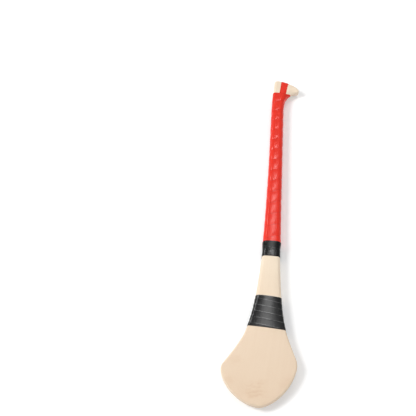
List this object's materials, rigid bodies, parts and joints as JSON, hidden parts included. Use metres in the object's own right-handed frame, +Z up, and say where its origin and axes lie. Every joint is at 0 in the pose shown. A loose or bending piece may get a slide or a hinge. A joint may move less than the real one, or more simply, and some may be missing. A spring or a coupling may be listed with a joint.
{
  "type": "hurley",
  "caption": "Junior hurley: a one-piece ash stick with a hooked knob and a flat, rounded bas, wound with a cushioned grip and black tape.",
  "frame": {"origin": "under the middle of the whole stick, on the surface that it lies on", "axes": "+Y runs along the stick from the bas to the butt, +X points to the side of the heel and the hook, and +Z points up out of the front face"},
  "size_m": [0.1228, 0.711, 0.0237],
  "materials": {
    "ash": "pale ash, sanded smooth, thin satin sealer",
    "grip": "smooth red cushioned grip, satin to glossy",
    "tape": "black plastic tape, semi-gloss"
  },
  "bodies": {
    "root": {"ash_stick": "ash", "butt_strip": "grip", "grip_tape": "grip", "finishing_tape": "tape", "throat_tape": "tape"}
  },
  "joints": []
}
